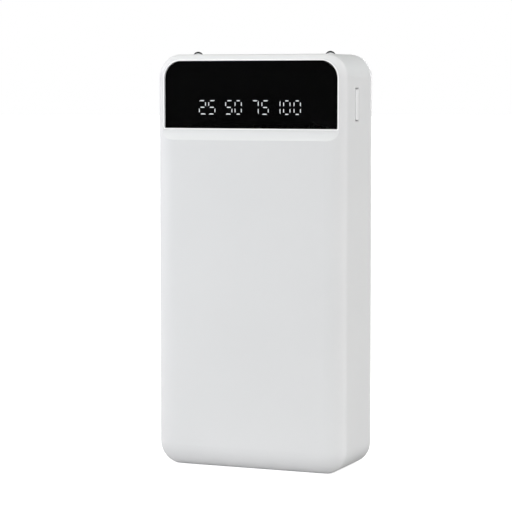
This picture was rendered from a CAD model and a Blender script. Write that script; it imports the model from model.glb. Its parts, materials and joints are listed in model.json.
"""Looks and studio for a small white-cased device with a dark display window and torch lenses.

Metres, +Z up. It stands on the floor at z = 0 with the window facing -Y and +X to its right.
"""
import json
import math

import bmesh
import bpy
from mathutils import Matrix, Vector

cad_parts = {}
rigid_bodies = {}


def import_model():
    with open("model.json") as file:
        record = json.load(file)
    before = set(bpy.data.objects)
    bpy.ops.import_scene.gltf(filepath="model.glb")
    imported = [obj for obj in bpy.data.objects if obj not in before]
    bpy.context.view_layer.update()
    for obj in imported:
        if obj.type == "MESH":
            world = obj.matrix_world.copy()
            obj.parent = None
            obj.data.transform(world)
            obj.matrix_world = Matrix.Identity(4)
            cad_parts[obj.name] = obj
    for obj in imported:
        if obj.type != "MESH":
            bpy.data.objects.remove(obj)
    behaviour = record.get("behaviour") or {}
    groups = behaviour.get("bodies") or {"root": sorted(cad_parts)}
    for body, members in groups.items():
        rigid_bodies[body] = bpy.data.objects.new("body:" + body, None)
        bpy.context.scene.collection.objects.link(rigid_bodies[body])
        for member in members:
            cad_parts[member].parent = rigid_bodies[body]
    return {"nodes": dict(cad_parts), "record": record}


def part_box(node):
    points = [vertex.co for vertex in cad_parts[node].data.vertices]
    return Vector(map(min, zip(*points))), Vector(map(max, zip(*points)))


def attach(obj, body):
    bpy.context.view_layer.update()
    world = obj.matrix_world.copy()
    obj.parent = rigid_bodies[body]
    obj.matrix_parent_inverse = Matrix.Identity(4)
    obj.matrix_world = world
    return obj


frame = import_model()
NODES = frame["nodes"]
for extra in [o for o in bpy.data.objects
              if o.type in ("MESH", "LIGHT", "CAMERA") and o.name not in NODES]:
    bpy.data.objects.remove(extra)
bpy.context.view_layer.update()
SCENE = bpy.context.scene
MM = 0.001
CAMERA_YAW = math.radians(22.543)  # the floor grid is turned with the camera


# ------------------------------------------------------------------ node helpers
class Graph:
    """A short way to write node trees. Coordinates are object space, in metres."""

    def __init__(self, name, library=bpy.data.materials, output="OutputMaterial"):
        self.owner = library.new(name)
        self.owner.use_nodes = True
        self.tree = self.owner.node_tree
        self.tree.nodes.clear()
        self.out = self.node(output)

    def node(self, kind, inputs=None, **props):
        """Add a node. An input is linked if given a socket, otherwise set; colours need no alpha."""
        node = self.tree.nodes.new("ShaderNode" + kind)
        for key, value in props.items():
            setattr(node, key, value)
        for key, value in (inputs or {}).items():
            socket = node.inputs[key]
            if isinstance(value, bpy.types.NodeSocket):
                self.tree.links.new(value, socket)
            elif socket.type == "RGBA":
                socket.default_value = (*value, 1.0)
            else:
                socket.default_value = value
        return node

    def position(self, scale=(1, 1, 1), turn=(0, 0, 0)):
        place = self.node("TexCoord").outputs["Object"]
        if scale == (1, 1, 1) and turn == (0, 0, 0):
            return place
        inputs = {"Vector": place, "Rotation": turn, "Scale": scale}
        return self.node("Mapping", inputs).outputs["Vector"]

    def noise(self, scale, detail=2.0, rough=0.5, vector=None, distortion=0.0):
        return self.node("TexNoise", {
            "Vector": vector or self.position(), "Scale": scale, "Detail": detail,
            "Roughness": rough, "Distortion": distortion,
        }).outputs["Fac"]

    def voronoi(self, scale, feature="F1"):
        inputs = {"Vector": self.position(), "Scale": scale}
        return self.node("TexVoronoi", inputs, feature=feature).outputs["Distance"]

    def remap(self, value, span=(0.3, 0.7), to=(0.0, 1.0)):
        """Clamped map of span onto to. The default span holds most values of a noise."""
        return self.node("MapRange", {
            "Value": value, "From Min": span[0], "From Max": span[1],
            "To Min": to[0], "To Max": to[1],
        }, clamp=True).outputs["Result"]

    def math(self, operation, a, b=0.0):
        return self.node("Math", {0: a, 1: b}, operation=operation).outputs[0]

    def times(self, value, share):
        return self.math("MULTIPLY", value, share)

    def mix(self, factor, low, high, share=1.0):
        """Colour mix from low to high; share weakens the factor."""
        if share != 1.0:
            factor = self.times(factor, share)
        # sockets 6, 7 and output 2 are the colour ones
        return self.node("Mix", {0: factor, 6: low, 7: high}, data_type="RGBA").outputs[2]

    def bump(self, height, strength, depth):
        """Bump normal, with depth in millimetres."""
        inputs = {"Strength": strength, "Distance": depth * MM, "Height": height}
        return self.node("Bump", inputs).outputs["Normal"]

    def split(self, vector):
        return self.node("SeparateXYZ", {0: vector}).outputs

    def shader(self, kind, **inputs):
        named = {key.replace("_", " "): value for key, value in inputs.items()}
        return self.node(kind, named).outputs[0]

    def principled(self, **inputs):
        return self.shader("BsdfPrincipled", **inputs)

    def mix_shader(self, factor, first, second):
        return self.node("MixShader", {0: factor, 1: first, 2: second}).outputs[0]

    def finish(self, shader):
        self.tree.links.new(shader, self.out.inputs["Surface"])
        return self.owner


def scaled(color, factor):
    return tuple(channel * factor for channel in color)


# ------------------------------------------------------------------ material families
def moulded(name, color, rough=0.42, grain=0.09, depth=0.012, tint=0.02, spec=0.5):
    """Injection-moulded plastic: eroded grain, slow shade drift and slightly varied gloss.
    grain is the grain pitch and depth its relief, both in millimetres."""
    g = Graph(name)
    dot_pitch = 2.4 * grain
    gloss_drift = 0.035
    fine = g.noise(scale=1000.0 / grain, detail=3.0, rough=0.6)
    dots = g.voronoi(scale=1000.0 / dot_pitch)
    slow = g.noise(scale=28.0)
    patch = g.noise(scale=260.0, detail=3.0, rough=0.6)
    base = g.mix(g.remap(slow), scaled(color, 1.0 - tint), scaled(color, 1.0 + tint))
    speck = g.remap(fine, span=(0.35, 0.65))
    base = g.mix(speck, base, scaled(color, 1.0 - tint * 0.8), share=0.35)
    roughness = g.remap(patch, to=(rough - gloss_drift, rough + gloss_drift))
    height = g.math("ADD", g.times(fine, share=0.65), g.times(dots, share=0.35))
    return g.finish(g.principled(
        Base_Color=base, Roughness=roughness, Specular_IOR_Level=spec,
        Normal=g.bump(height, strength=0.35, depth=depth)))


def metal(name, color, rough=0.28, stretch=(1, 1, 1)):
    """Rolled or plated metal: brushing, blotchy gloss and faint tarnish.
    A small stretch value draws the brushing out along that axis."""
    g = Graph(name)
    tarnish = 0.06
    brush = g.noise(scale=9000.0, detail=3.0, rough=0.6, vector=g.position(stretch))
    blotch = g.noise(scale=900.0, detail=3.0, rough=0.55)
    base = g.mix(g.remap(blotch, span=(0.35, 0.7)),
                 scaled(color, 1.0 - tarnish), scaled(color, 1.0 + tarnish))
    roughness = g.remap(brush, to=(rough * 0.75, rough * 1.3))
    normal = g.bump(brush, strength=0.25, depth=0.004)
    return g.finish(g.principled(
        Base_Color=base, Metallic=1.0, Roughness=roughness, Normal=normal))


def foam(name, color):
    """Closed-cell foam: fine pores with a dull skin."""
    g = Graph(name)
    pores = g.voronoi(scale=2600.0)
    soft = g.noise(scale=700.0, detail=3.0, rough=0.6)
    base = g.mix(g.remap(pores, span=(0.0, 0.6)), scaled(color, 0.45), scaled(color, 1.25))
    base = g.mix(soft, base, scaled(color, 0.8), share=0.3)
    normal = g.bump(pores, strength=0.8, depth=0.12)
    return g.finish(g.principled(
        Base_Color=base, Roughness=0.95, Normal=normal, Specular_IOR_Level=0.2))


def film(name, color, rough=0.35):
    """Thin film or insulation: fine lines along X and a soft gloss."""
    g = Graph(name)
    lines = g.noise(scale=3000.0, vector=g.position(scale=(1, 0.05, 0.05)))
    spot = g.noise(scale=500.0, detail=3.0, rough=0.6)
    base = g.mix(g.remap(lines, span=(0.4, 0.6)), scaled(color, 0.85), scaled(color, 1.12))
    base = g.mix(spot, base, scaled(color, 0.8), share=0.25)
    return g.finish(g.principled(
        Base_Color=base, Roughness=g.remap(spot, to=(rough - 0.06, rough + 0.08)),
        Normal=g.bump(lines, strength=0.3, depth=0.02)))


def chip(name, color):
    """Filled epoxy package: mineral speckle and a satin skin."""
    g = Graph(name)
    grit = g.noise(scale=7000.0, detail=3.0, rough=0.65)
    drift = g.noise(scale=300.0)
    base = g.mix(g.remap(grit, span=(0.4, 0.7)), scaled(color, 0.75), scaled(color, 1.7))
    base = g.mix(drift, base, scaled(color, 1.3), share=0.3)
    return g.finish(g.principled(
        Base_Color=base, Roughness=g.remap(drift, to=(0.42, 0.6)),
        Normal=g.bump(grit, strength=0.4, depth=0.01)))


# ------------------------------------------------------------------ single materials
def circuit_board():
    """Solder mask over copper: traces show as a slightly lighter brick weave."""
    g = Graph("circuit_board")
    # turned so that the brick pattern lies in the XZ plane
    brick = g.node("TexBrick", {
        "Vector": g.position(turn=(math.radians(90), 0, 0)),
        "Scale": 420.0,
        "Mortar Size": 0.03,
        "Color1": (0.012, 0.12, 0.05),
        "Color2": (0.016, 0.15, 0.062),
        "Mortar": (0.035, 0.24, 0.11),
    }).outputs
    weave = g.noise(scale=4200.0)
    base = g.mix(g.remap(weave, span=(0.4, 0.6)),
                 low=brick["Color"], high=(0.01, 0.09, 0.04), share=0.25)
    height = g.math("ADD", brick["Fac"], g.times(weave, share=0.2))
    return g.finish(g.principled(
        Base_Color=base, Roughness=0.3, Normal=g.bump(height, strength=0.3, depth=0.02),
        Coat_Weight=0.4, Coat_Roughness=0.15))


def cell_foil():
    """Laminated pouch foil: fine creases and long soft waves."""
    g = Graph("cell_foil")
    wave = g.noise(scale=90.0, detail=4.0, rough=0.55, distortion=0.6)
    crease = g.voronoi(scale=150.0, feature="DISTANCE_TO_EDGE")
    line = g.remap(crease, span=(0.0, 0.05), to=(1.0, 0.0))
    base = g.mix(g.remap(wave, span=(0.35, 0.65)),
                 low=(0.6, 0.61, 0.63), high=(0.74, 0.75, 0.77))
    height = g.math("ADD", wave, g.times(line, share=0.15))
    return g.finish(g.principled(
        Base_Color=base, Metallic=0.85, Roughness=g.remap(wave, to=(0.26, 0.44)),
        Normal=g.bump(height, strength=0.5, depth=0.5)))


def window_acrylic():
    """Polished acrylic over the black print: nearly clear, with a faint haze."""
    g = Graph("window_acrylic")
    haze = g.noise(scale=45.0, detail=3.0)
    smear = g.noise(scale=2500.0, vector=g.position(scale=(1, 1, 0.35)))
    rough = g.remap(haze, to=(0.035, 0.075))
    height = g.math("ADD", haze, g.times(smear, share=0.01))
    normal = g.bump(height, strength=0.04, depth=0.02)
    gloss = g.shader("BsdfGlossy", Color=(1, 1, 1), Roughness=rough, Normal=normal)
    tone = g.mix(g.remap(haze), low=(0.93, 0.935, 0.94), high=(0.96, 0.965, 0.97))
    clear = g.shader("BsdfTransparent", Color=tone)
    fresnel = g.node("Fresnel", {"IOR": 1.33}).outputs[0]
    # only front faces reflect
    back = g.node("NewGeometry").outputs["Backfacing"]
    mirror = g.math("MULTIPLY", fresnel, g.math("SUBTRACT", 1.0, back))
    return g.finish(g.mix_shader(mirror, clear, gloss))


def mask_print():
    """Dense black print with a barely visible dot grain, a little lighter towards its foot."""
    g = Graph("mask_print")
    dots = g.voronoi(scale=4200.0)
    drift = g.noise(scale=60.0)
    base = g.mix(g.remap(dots, span=(0.1, 0.6)),
                 low=(0.0014, 0.0014, 0.0015), high=(0.0026, 0.0026, 0.0027))
    base = g.mix(drift, base, high=(0.0018, 0.0018, 0.0019), share=0.4)
    low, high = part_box("display_mask")
    fade_top = low[2] + 0.45 * (high[2] - low[2])
    foot = g.remap(g.split(g.position())["Z"], span=(low[2], fade_top), to=(1.0, 0.0))
    base = g.mix(foot, base, high=(0.0036, 0.0036, 0.0037))
    return g.finish(g.principled(
        Base_Color=base, Roughness=0.7, Normal=g.bump(dots, strength=0.2, depth=0.01),
        Specular_IOR_Level=0.0))


def lit_bar():
    """Milky light guide, glowing with a slight cloudiness."""
    g = Graph("lit_bar")
    cloud = g.noise(scale=1400.0)
    tone = g.mix(g.remap(cloud), low=(0.68, 0.72, 0.74), high=(0.78, 0.8, 0.82))
    return g.finish(g.principled(
        Base_Color=(0.2, 0.2, 0.2), Roughness=0.5, Emission_Color=tone,
        Emission_Strength=g.remap(cloud, to=(0.93, 1.08))))


def lens_acrylic():
    """Moulded lens: milky where it is seen face-on, dark where it is seen edge-on."""
    g = Graph("lens_acrylic")
    top_band = 1.15 * MM  # height over which the top of the lens darkens
    top_lift = 0.55  # how far that band is pushed towards the dark edge
    edge_span = (0.44, 0.56)  # facing values between milky and dark
    ripple = g.noise(scale=900.0)
    drift = g.noise(scale=300.0)
    tone = g.mix(g.remap(drift), low=(0.8, 0.82, 0.84), high=(0.9, 0.92, 0.93))
    normal = g.bump(ripple, strength=0.1, depth=0.01)
    facing = g.node("LayerWeight", {"Blend": 0.5}).outputs["Facing"]
    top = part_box("torch_lens_left")[1][2]
    lift = g.remap(g.split(g.position())["Z"], span=(top - top_band, top), to=(0.0, top_lift))
    edge = g.remap(g.math("ADD", facing, lift), span=edge_span)
    rough = g.remap(drift, to=(0.03, 0.08))
    milky = g.principled(
        Base_Color=tone, Roughness=rough, Transmission_Weight=0.35, IOR=1.49, Normal=normal)
    dark = g.principled(
        Base_Color=g.mix(drift, low=(0.02, 0.021, 0.022), high=(0.04, 0.04, 0.042)),
        Roughness=rough, Normal=normal, Specular_IOR_Level=0.06)
    side_view = g.mix_shader(edge, milky, dark)
    # seen from above, the lamp under the lens comes into view
    incoming = g.node("NewGeometry").outputs["Incoming"]
    above = g.remap(g.split(incoming)["Z"], span=(0.3, 0.6), to=(0.0, 0.85))
    bare = g.principled(
        Base_Color=(0.97, 0.98, 0.98), Roughness=rough, Transmission_Weight=1.0, IOR=1.45,
        Normal=normal)
    return g.finish(g.mix_shader(above, side_view, bare))


def phosphor():
    """Gritty yellow coating."""
    g = Graph("phosphor")
    grit = g.noise(scale=5200.0, detail=3.0, rough=0.7)
    base = g.mix(g.remap(grit, span=(0.35, 0.65)), low=(0.75, 0.6, 0.1), high=(0.95, 0.84, 0.3))
    return g.finish(g.principled(
        Base_Color=base, Roughness=0.55, Normal=g.bump(grit, strength=0.5, depth=0.02)))


# ------------------------------------------------------------------ material slots
WHITE = (0.735, 0.742, 0.752)
MATERIALS = {
    "casing": moulded("shell_white", color=WHITE, rough=0.5, spec=0.4, grain=0.11, tint=0.012),
    "button_cap": moulded(
        "button_white", color=scaled(WHITE, 1.06), rough=0.3, depth=0.006, tint=0.012),
    "window": window_acrylic(),
    "mask_black": mask_print(),
    "light_bar": lit_bar(),
    "module_housing": moulded("housing_grey", color=(0.6, 0.6, 0.58), rough=0.5, grain=0.2),
    "foam_black": foam("foam_black", color=(0.03, 0.03, 0.032)),
    "foam_grey": foam("foam_grey", color=(0.16, 0.16, 0.17)),
    "tape": film("tape_tissue", color=(0.6, 0.58, 0.5), rough=0.6),
    "circuit_board": circuit_board(),
    "ribbon": film("ribbon_film", color=(0.55, 0.27, 0.05), rough=0.3),
    "steel": metal(
        "socket_steel", color=(0.62, 0.62, 0.63), rough=0.24, stretch=(1, 1, 0.06)),
    "screw_steel": metal("screw_steel", color=(0.42, 0.42, 0.44), rough=0.3),
    "contact_gold": metal(
        "contact_gold", color=(0.86, 0.62, 0.24), rough=0.2, stretch=(1, 1, 0.08)),
    "socket_white": moulded("socket_white", color=(0.62, 0.62, 0.6), rough=0.4, grain=0.12),
    "socket_black": moulded(
        "socket_black", color=(0.02, 0.02, 0.021), rough=0.4, grain=0.12, tint=0.15),
    "chip_black": chip("chip_black", color=(0.03, 0.03, 0.032)),
    "ferrite": chip("ferrite", color=(0.07, 0.07, 0.075)),
    "ceramic_chip": film("ceramic_chip", color=(0.42, 0.28, 0.16), rough=0.4),
    "capacitor_can": metal(
        "capacitor_can", color=(0.66, 0.67, 0.7), rough=0.35, stretch=(1, 0.05, 1)),
    "lens_clear": lens_acrylic(),
    "led_white": moulded("lamp_body", color=(0.72, 0.72, 0.7), rough=0.3, grain=0.12),
    "phosphor": phosphor(),
    "plunger_black": chip("plunger_black", color=(0.04, 0.04, 0.042)),
    "cell_foil": cell_foil(),
    "tab_nickel": metal(
        "tab_nickel", color=(0.6, 0.58, 0.53), rough=0.3, stretch=(0.05, 1, 1)),
    "wire_red": film("wire_red", color=(0.42, 0.012, 0.012)),
    "wire_black": film("wire_black", color=(0.015, 0.015, 0.016)),
}
for part in frame["record"]["subparts"]:
    slots = NODES[part["node"]].data.materials
    slots.clear()
    slots.append(MATERIALS[part["material_slot"]])


def add_smooth_object(name, bm):
    """Turn a bmesh into a smooth-shaded object in the scene."""
    mesh = bpy.data.meshes.new(name)
    bm.to_mesh(mesh)
    bm.free()
    for polygon in mesh.polygons:
        polygon.use_smooth = True
    ob = bpy.data.objects.new(name, mesh)
    SCENE.collection.objects.link(ob)
    return ob


# ------------------------------------------------------------------ window lip
WINDOW_TOP_RADIUS = 6.3 * MM
WINDOW_LOW_RADIUS = 0.5 * MM
CORNER_STEPS = 14
LIP_GAP = 0.02 * MM  # between the window's edge and the bead
LIP_WIDTH = 0.45 * MM
LIP_HEIGHT = 0.07 * MM
LIP_LEAD = 0.05 * MM  # the bead's base in front of the window
LIP_OUTER_DEPTH = 0.3 * MM  # how far its outer and inner edges run back
LIP_INNER_DEPTH = 0.04 * MM
BEAD_STEPS = 8


def window_outline(low, high, grow):
    """(x, z) points round the window, anticlockwise from the front, grown outwards by grow."""
    centre_x = (high[0] + low[0]) / 2
    half_width = (high[0] - low[0]) / 2
    low_z = low[2] + WINDOW_LOW_RADIUS
    top_z = high[2] - WINDOW_TOP_RADIUS
    # side, height of the corner's centre, radius, start angle
    corners = [
        (1, low_z, WINDOW_LOW_RADIUS, -90), (1, top_z, WINDOW_TOP_RADIUS, 0),
        (-1, top_z, WINDOW_TOP_RADIUS, 90), (-1, low_z, WINDOW_LOW_RADIUS, 180),
    ]
    points = []
    for side, z, radius, start in corners:
        x = side * (half_width - radius)
        for i in range(CORNER_STEPS + 1):
            angle = math.radians(start + 90 * i / CORNER_STEPS)
            points.append((centre_x + (x + (radius + grow) * math.cos(angle)),
                           z + (radius + grow) * math.sin(angle)))
    return points


def window_lip():
    """A fine polished bead where the casing meets the window."""
    low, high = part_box("display_window")
    face = low[1] - LIP_LEAD
    section = []  # (growth of the outline, y)
    for i in range(BEAD_STEPS + 1):
        angle = math.pi * i / BEAD_STEPS
        section.append((LIP_GAP + LIP_WIDTH * (1 - math.cos(angle)) / 2,
                        face - LIP_HEIGHT * math.sin(angle)))
    section.append((LIP_GAP + LIP_WIDTH, face + LIP_OUTER_DEPTH))
    section.append((LIP_GAP, face + LIP_INNER_DEPTH))

    bm = bmesh.new()
    rings = [[bm.verts.new((x, y, z)) for x, z in window_outline(low, high, grow)]
             for grow, y in section]
    count = len(rings[0])
    for ring, following in zip(rings, rings[1:] + rings[:1]):
        for i in range(count):
            j = (i + 1) % count
            bm.faces.new((ring[i], ring[j], following[j], following[i]))
    bmesh.ops.recalc_face_normals(bm, faces=bm.faces)
    ob = add_smooth_object("window_lip", bm)
    ob.data.materials.append(moulded(
        "lip_white", color=(0.98, 0.982, 0.985), rough=0.18, depth=0.002, tint=0.008))
    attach(ob, "casing")


window_lip()

# ------------------------------------------------------------------ floor
FLOOR_STATIONS = (-9.0, -3.0, -1.0, -0.3, 0.0, 0.3, 1.0, 3.0, 9.0)
FLOOR_DROP = 0.02 * MM
FLOOR_GLOW = 0.75  # emission the camera sees
FLOOR_BOUNCE = 0.45  # grey of the floor for all other rays, near the device
FAR_BOUNCE = 0.02
BOUNCE_FADE = (0.5, 1.4)  # distances over which the bounce fades
CONTACT_FADE = (0.1 * MM, 0.6 * MM)  # ray lengths over which light from below is cut off
FOOT_FADE = (0.3 * MM, 1.6 * MM)  # the same, outwards from the foot
FOOT_LEVEL = 5e-6  # vertices lower than this belong to the foot


def foot_mask(g, path):
    """1 for short rays within the flat foot of the casing, 0 elsewhere."""
    foot = [v.co for name in ("front_shell", "rear_cover")
            for v in bpy.data.objects[name].data.vertices if v.co.z < FOOT_LEVEL]
    spot = g.split(g.position())
    mask = g.remap(path["Ray Length"], span=CONTACT_FADE, to=(1.0, 0.0))
    for axis, coord in enumerate("XY"):
        low = min(co[axis] for co in foot)
        high = max(co[axis] for co in foot)
        off = g.math("ABSOLUTE", g.math("SUBTRACT", spot[coord], 0.5 * (low + high)))
        half = 0.5 * (high - low)
        span = (half + FOOT_FADE[0], half + FOOT_FADE[1])
        mask = g.math("MULTIPLY", mask, g.remap(off, span=span, to=(1.0, 0.0)))
    return mask


def floor_paper():
    """Glowing white paper for the camera, a dull bounce for every other ray."""
    g = Graph("floor_paper")
    fine = g.noise(scale=900.0, detail=3.0, rough=0.6)
    tone = g.mix(fine, low=(0.80, 0.80, 0.80), high=(0.84, 0.84, 0.84))
    paper = g.shader("BsdfDiffuse", Color=tone)
    glow = g.shader("Emission", Color=(1, 1, 1), Strength=FLOOR_GLOW)
    seen = g.node("AddShader", {0: paper, 1: glow}).outputs[0]
    distance = g.node("VectorMath", {0: g.position()}, operation="LENGTH").outputs["Value"]
    bounce = g.mix(g.remap(distance, span=BOUNCE_FADE),
                   low=(FLOOR_BOUNCE,) * 3, high=(FAR_BOUNCE,) * 3)
    dull = g.shader("BsdfDiffuse", Color=bounce)
    path = g.node("LightPath").outputs
    sheet = g.mix_shader(path["Is Camera Ray"], dull, seen)
    # the camera sees through the sheet from below, and light passes it only under the foot
    back = g.node("NewGeometry").outputs["Backfacing"]
    seen_below = g.math("MULTIPLY", back, path["Is Camera Ray"])
    under = foot_mask(g, path)
    clear = g.shader("BsdfTransparent")
    return g.finish(g.mix_shader(g.math("MAXIMUM", seen_below, under), sheet, clear))


def floor_piece():
    """A flat sheet that runs far out on every side."""
    bm = bmesh.new()
    cos, sin = math.cos(CAMERA_YAW), math.sin(CAMERA_YAW)
    rows = [[bm.verts.new((x * cos - y * sin, x * sin + y * cos, -FLOOR_DROP))
             for x in FLOOR_STATIONS] for y in FLOOR_STATIONS]
    for row, following in zip(rows, rows[1:]):
        for i in range(len(row) - 1):
            bm.faces.new((row[i], row[i + 1], following[i + 1], following[i]))
    ob = add_smooth_object("floor", bm)
    ob.data.materials.append(floor_paper())


floor_piece()


# ------------------------------------------------------------------ world
def studio_world():
    """White for the camera, a dim cool room for every other ray."""
    g = Graph("studio", library=bpy.data.worlds, output="OutputWorld")
    backdrop = g.shader("Background", Color=(1, 1, 1), Strength=1.0)
    room = g.shader("Background", Color=(0.97, 0.985, 1.0), Strength=0.06)
    camera_ray = g.node("LightPath").outputs["Is Camera Ray"]
    return g.finish(g.mix_shader(camera_ray, room, backdrop))


SCENE.world = studio_world()

# ------------------------------------------------------------------ lights
# Azimuth 0 is in front (-Y) and 90 on the +X side; angles are in degrees.
SKY_SPREAD = math.radians(38.0)
PANEL_TARGET = Vector((0.0, -0.015, 0.074))
PANEL_DISTANCE = 0.42
PANEL_SIZE = 0.26


def add_lamp(name, kind, azimuth, elevation, color):
    """A lamp aimed from the given direction; color carries its energy too.
    Returns the lamp and the direction towards it."""
    level = max(color)
    data = bpy.data.lights.new(name, kind)
    data.energy = level
    data.color = tuple(channel / level for channel in color)
    ob = bpy.data.objects.new(name, data)
    a, e = math.radians(azimuth), math.radians(elevation)
    away = Vector((math.sin(a) * math.cos(e), -math.cos(a) * math.cos(e), math.sin(e)))
    ob.rotation_euler = away.to_track_quat("Z", "Y").to_euler()
    SCENE.collection.objects.link(ob)
    return ob, away


def soft_sky(*row):
    """A broad soft source far away."""
    name, azimuth, elevation, color = row
    ob, _ = add_lamp(name, "SUN", azimuth, elevation, color)
    ob.data.angle = SKY_SPREAD
    return ob


def near_panel(*row):
    """A round diffuser close by, so that the front fades a little from left to right."""
    name, azimuth, elevation, color = row
    ob, away = add_lamp(name, "AREA", azimuth, elevation, color)
    ob.data.shape = "DISK"
    ob.data.size = PANEL_SIZE
    ob.location = PANEL_TARGET + away * PANEL_DISTANCE
    return ob


# name, azimuth, elevation, colour times strength
SOFT_SOURCES = [
    ("left_rear_low", -120, 12, (0.375, 0.367, 0.412)),
    ("left_low", -90, 12, (0.502, 0.467, 0.452)),
    ("left_front_low", -60, 12, (0.286, 0.259, 0.259)),
    ("front_left_low", -30, 12, (0.354, 0.329, 0.348)),
    ("front_low", 0, 12, (0.428, 0.398, 0.413)),
    ("front_right_low", 30, 12, (0.516, 0.486, 0.482)),
    ("right_front_low", 60, 12, (0.437, 0.430, 0.417)),
    ("right_low", 90, 12, (0.715, 0.682, 0.660)),
    ("right_rear_low", 120, 12, (0.543, 0.514, 0.530)),
    ("rear_right_low", 150, 12, (0.093, 0.147, 0.129)),
    ("left_mid", -90, 38, (0.462, 0.430, 0.414)),
    ("left_front_mid", -60, 38, (0.116, 0.132, 0.100)),
    ("front_left_mid", -30, 38, (0.050, 0.070, 0.045)),
    ("front_mid", 0, 38, (0.085, 0.108, 0.116)),
    ("front_right_mid", 30, 38, (0.000, 0.004, 0.025)),
    ("right_front_mid", 60, 38, (0.137, 0.162, 0.158)),
    ("right_mid", 90, 38, (0.365, 0.357, 0.370)),
    ("left_high", -100, 64, (0.052, 0.008, 0.043)),
    ("left_front_high", -50, 64, (0.409, 0.424, 0.352)),
    ("right_front_high", 50, 64, (0.409, 0.447, 0.398)),
    ("front_top", 0, 89, (0.025, 0.025, 0.042)),
    ("rear_right_below", 150, -10, (0.344, 0.308, 0.308)),
    ("right_front_below", 60, -10, (0.432, 0.424, 0.411)),
    ("front_below", 0, -10, (0.361, 0.344, 0.361)),
    ("left_front_below", -60, -10, (0.269, 0.260, 0.262)),
    ("under_base", 20, -75, (1.5, 1.5, 1.5)),
]
# the same columns, with the strength in watts
NEAR_SOURCES = [
    ("near_left", -58, 14, (0.274, 0.332, 0.350)),
    ("near_far_left", -75, 10, (0.186, 0.152, 0.176)),
]
# these light only the back of the casing
REAR_SOURCES = [
    ("rear_fill", 180, 4, (2.0, 2.0, 2.0)),
    ("rear_left_fill", -140, 6, (1.4, 1.4, 1.4)),
]
lamps = [soft_sky(*row) for row in SOFT_SOURCES]
lamps += [near_panel(*row) for row in NEAR_SOURCES]

# the window mirrors only the dim room, not these lamps
lit = bpy.data.collections.new("lit_by_sources")
for ob in list(SCENE.objects):
    if ob.type in ("MESH", "CURVE") and ob.name != "display_window":
        lit.objects.link(ob)
for lamp in lamps:
    lamp.light_linking.receiver_collection = lit

behind = bpy.data.collections.new("lit_from_behind")
behind.objects.link(NODES["rear_cover"])
for row in REAR_SOURCES:
    soft_sky(*row).light_linking.receiver_collection = behind

# ------------------------------------------------------------------ camera
CAMERA_PLACE = (0.291096, -0.709172, 0.137307)
CAMERA_DIP = 4.5843  # degrees below the horizon
FOCAL_LENGTH = 149.29657031  # millimetres, as is the sensor
SENSOR_WIDTH = 36.0

camera_data = bpy.data.cameras.new("camera")
camera_data.sensor_width = SENSOR_WIDTH
camera_data.lens = FOCAL_LENGTH
camera_data.clip_start = 0.01
camera_data.clip_end = 100.0
camera = bpy.data.objects.new("camera", camera_data)
camera.location = CAMERA_PLACE
camera.rotation_euler = (math.radians(90 - CAMERA_DIP), 0.0, CAMERA_YAW)
SCENE.collection.objects.link(camera)
SCENE.camera = camera
SCENE.view_settings.view_transform = "Standard"
SCENE.view_settings.look = "None"

bpy.context.view_layer.update()
